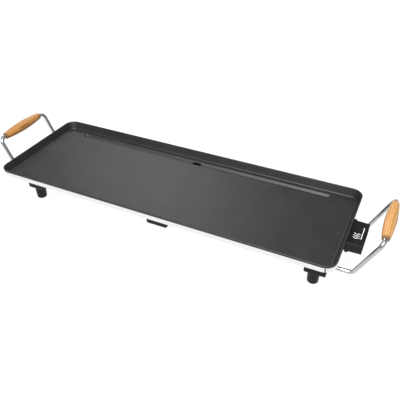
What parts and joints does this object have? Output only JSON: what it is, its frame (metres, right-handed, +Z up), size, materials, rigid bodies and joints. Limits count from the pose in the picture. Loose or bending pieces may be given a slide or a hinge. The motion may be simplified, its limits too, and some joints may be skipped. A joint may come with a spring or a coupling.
{
  "type": "electric griddle",
  "caption": "Long tabletop griddle: shallow non-stick pan with a drain trough on a steel base, wire handles with wooden grips, a thermostat socket and a drip tray.",
  "frame": {"origin": "on the table, under the middle of the whole outline", "axes": "+X along the pan to the thermostat socket, +Y to the back with the trough, +Z up"},
  "size_m": [0.8384, 0.2502, 0.1484],
  "materials": {
    "nonstick": "die cast, with a black non-stick coating",
    "polished_steel": "polished stainless sheet",
    "chromed_wire": "bright chromium plate",
    "wood": "turned and oiled",
    "black_moulding": "moulded phenolic, fine grain",
    "rubber": "moulded",
    "element_sheath": "heat-darkened steel sheath",
    "ceramic": "fired steatite, unglazed",
    "zinc_steel": "zinc plated",
    "nickel_pin": "nickel plated",
    "bright_aluminium": "rolled sheet"
  },
  "bodies": {
    "griddle": {"griddle_plate": "nonstick", "base_shell": "polished_steel", "reflector_sheet": "bright_aluminium", "heating_element": "element_sheath", "terminal_pins": "nickel_pin", "ceramic_bushings": "ceramic", "element_clamps": "zinc_steel", "clamp_screws": "zinc_steel", "plate_spacers": "ceramic", "plate_screws": "zinc_steel", "terminal_plate": "zinc_steel", "terminal_rivets": "zinc_steel", "inlet_housing": "black_moulding", "probe_tube": "nickel_pin", "earth_blade": "nickel_pin", "inlet_screws": "zinc_steel", "handle_wire_left": "chromed_wire", "handle_wire_right": "chromed_wire", "handle_clamps": "zinc_steel", "handle_clamp_screws": "zinc_steel", "foot_front_left": "black_moulding", "foot_front_right": "black_moulding", "foot_rear_left": "black_moulding", "foot_rear_right": "black_moulding", "foot_pads": "rubber", "foot_screws": "zinc_steel", "rail_left": "zinc_steel", "rail_right": "zinc_steel", "rail_rivets": "zinc_steel"},
    "tray": {"drip_tray": "polished_steel", "tray_front": "black_moulding", "tray_rivets": "zinc_steel"},
    "grip_left_body": {"grip_left": "wood"},
    "grip_right_body": {"grip_right": "wood"}
  },
  "joints": [
    {"name": "tray_slide", "type": "slide", "parent": "griddle", "child": "tray", "axis": [0, -1, 0], "range_m": [0, 0.165]},
    {"name": "grip_left_turn", "type": "hinge", "parent": "griddle", "child": "grip_left_body", "pos_m": [-0.4085, 0, 0.1377], "axis": [0, 1, 0], "continuous": true},
    {"name": "grip_right_turn", "type": "hinge", "parent": "griddle", "child": "grip_right_body", "pos_m": [0.4085, 0, 0.1377], "axis": [0, 1, 0], "continuous": true}
  ]
}
